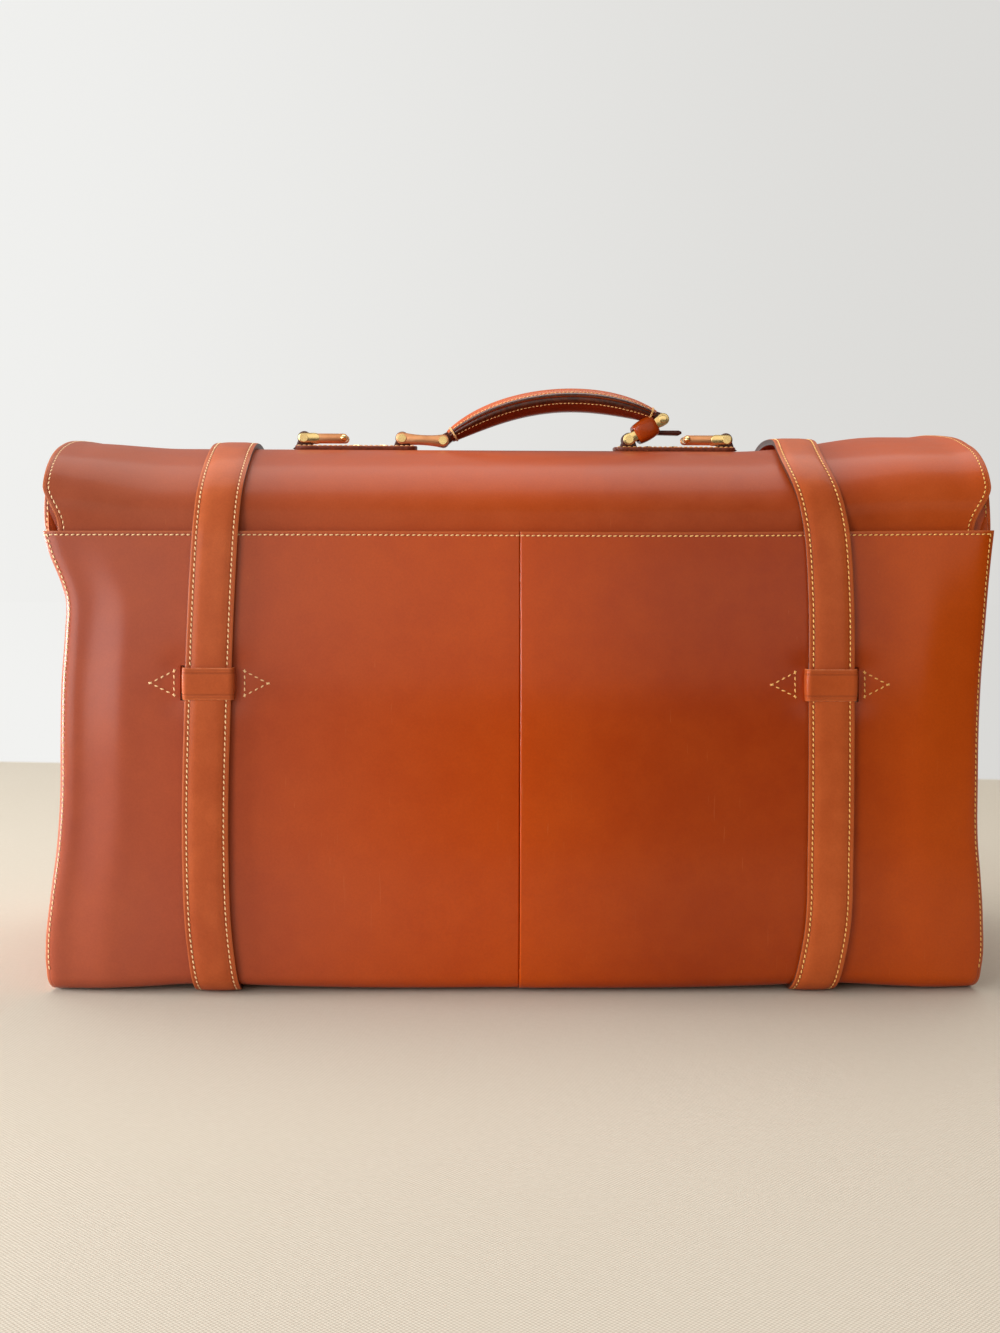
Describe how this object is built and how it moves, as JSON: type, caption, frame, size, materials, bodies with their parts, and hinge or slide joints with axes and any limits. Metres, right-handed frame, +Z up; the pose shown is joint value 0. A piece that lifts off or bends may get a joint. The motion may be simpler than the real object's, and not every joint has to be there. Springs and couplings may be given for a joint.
{
  "type": "leather weekender bag",
  "caption": "Leather weekender bag with a back-hinged flap, two long buckled straps, a folding handle on brass links and swinging brass shackles.",
  "frame": {"origin": "middle of the footprint, at the underside of the straps that the bag stands on", "axes": "+X along the bag, -Y the back with the centre seam, +Y the front with the buckles, +Z up"},
  "size_m": [0.6, 0.2436, 0.3888],
  "materials": {
    "body_leather": "smooth, softly glossy",
    "strap_leather": "smooth, softly glossy",
    "dark_leather": "burnished",
    "lining": "plain weave",
    "board": "bonded fibre board",
    "brass": "polished",
    "thread": "waxed thread"
  },
  "bodies": {
    "case": {"back_panel_left": "body_leather", "back_panel_right": "body_leather", "seam_backing": "dark_leather", "front_panel": "body_leather", "front_facing": "strap_leather", "base_panel": "body_leather", "back_yoke": "body_leather", "yoke_wing_left": "body_leather", "yoke_wing_right": "body_leather", "gusset_left": "body_leather", "gusset_right": "body_leather", "base_board": "board", "back_interlining": "board", "front_interlining": "board", "body_lining": "lining", "rear_keeper_left": "strap_leather", "rear_keeper_right": "strap_leather", "strap_rear_left": "strap_leather", "strap_rear_right": "strap_leather", "strap_base_left": "strap_leather", "strap_base_right": "strap_leather", "strap_front_left": "strap_leather", "strap_front_right": "strap_leather"},
    "flap": {"flap": "body_leather", "flap_lining": "lining", "strap_top_left": "strap_leather", "strap_top_right": "strap_leather", "buckle_keeper_left": "strap_leather", "buckle_keeper_right": "strap_leather", "handle_base_left": "strap_leather", "handle_base_right": "strap_leather", "backing_plate_left": "brass", "backing_plate_right": "brass", "base_rivets": "brass", "base_pins": "brass"},
    "buckle_left": {"buckle_left": "brass"},
    "buckle_right": {"buckle_right": "brass"},
    "prong_left": {"prong_left": "brass"},
    "prong_right": {"prong_right": "brass"},
    "link_left": {"link_left": "brass"},
    "link_right": {"link_right": "brass", "tag_strap": "dark_leather"},
    "shackle_left": {"shackle_left": "brass"},
    "shackle_right": {"shackle_right": "brass"},
    "handle": {"handle_core": "dark_leather", "handle_cover_upper": "strap_leather", "handle_cover_lower": "dark_leather", "handle_loop_left": "dark_leather", "handle_loop_right": "dark_leather", "handle_pins": "brass", "handle_thread": "thread"}
  },
  "joints": [
    {"name": "flap_open", "type": "hinge", "parent": "case", "child": "flap", "pos_m": [0, -0.1075, 0.287], "axis": [1, 0, 0], "range_deg": [0, 165]},
    {"name": "link_left_swing", "type": "hinge", "parent": "flap", "child": "link_left", "pos_m": [-0.078, 0, 0.354], "axis": [0, -1, 0], "range_deg": [0, 93]},
    {"name": "handle_tilt", "type": "hinge", "parent": "link_left", "child": "handle", "pos_m": [-0.05004, 0, 0.35253], "axis": [0, -1, 0], "range_deg": [-99.3, 0]},
    {"name": "link_right_swing", "type": "hinge", "parent": "flap", "child": "link_right", "pos_m": [0.078, 0, 0.354], "axis": [0, -1, 0], "range_deg": [0, 67.71]},
    {"name": "shackle_left_swing", "type": "hinge", "parent": "flap", "child": "shackle_left", "pos_m": [-0.145, 0, 0.354], "axis": [0, -1, 0], "range_deg": [0, 165]},
    {"name": "shackle_right_swing", "type": "hinge", "parent": "flap", "child": "shackle_right", "pos_m": [0.145, 0, 0.354], "axis": [0, 1, 0], "range_deg": [0, 165]},
    {"name": "buckle_left_swing", "type": "hinge", "parent": "flap", "child": "buckle_left", "pos_m": [0, 0.1172, 0.242], "axis": [1, 0, 0], "range_deg": [0, 90]},
    {"name": "buckle_right_swing", "type": "hinge", "parent": "flap", "child": "buckle_right", "pos_m": [0, 0.1172, 0.242], "axis": [1, 0, 0], "range_deg": [0, 90]},
    {"name": "prong_left_swing", "type": "hinge", "parent": "buckle_left", "child": "prong_left", "pos_m": [0, 0.1172, 0.242], "axis": [1, 0, 0], "range_deg": [0, 60]},
    {"name": "prong_right_swing", "type": "hinge", "parent": "buckle_right", "child": "prong_right", "pos_m": [0, 0.1172, 0.242], "axis": [1, 0, 0], "range_deg": [0, 60]}
  ],
  "couplings": [
    {"joint": "handle_tilt", "follows": "link_left_swing", "ratio": -1.0677},
    {"joint": "link_right_swing", "follows": "link_left_swing", "ratio": 0.728}
  ]
}
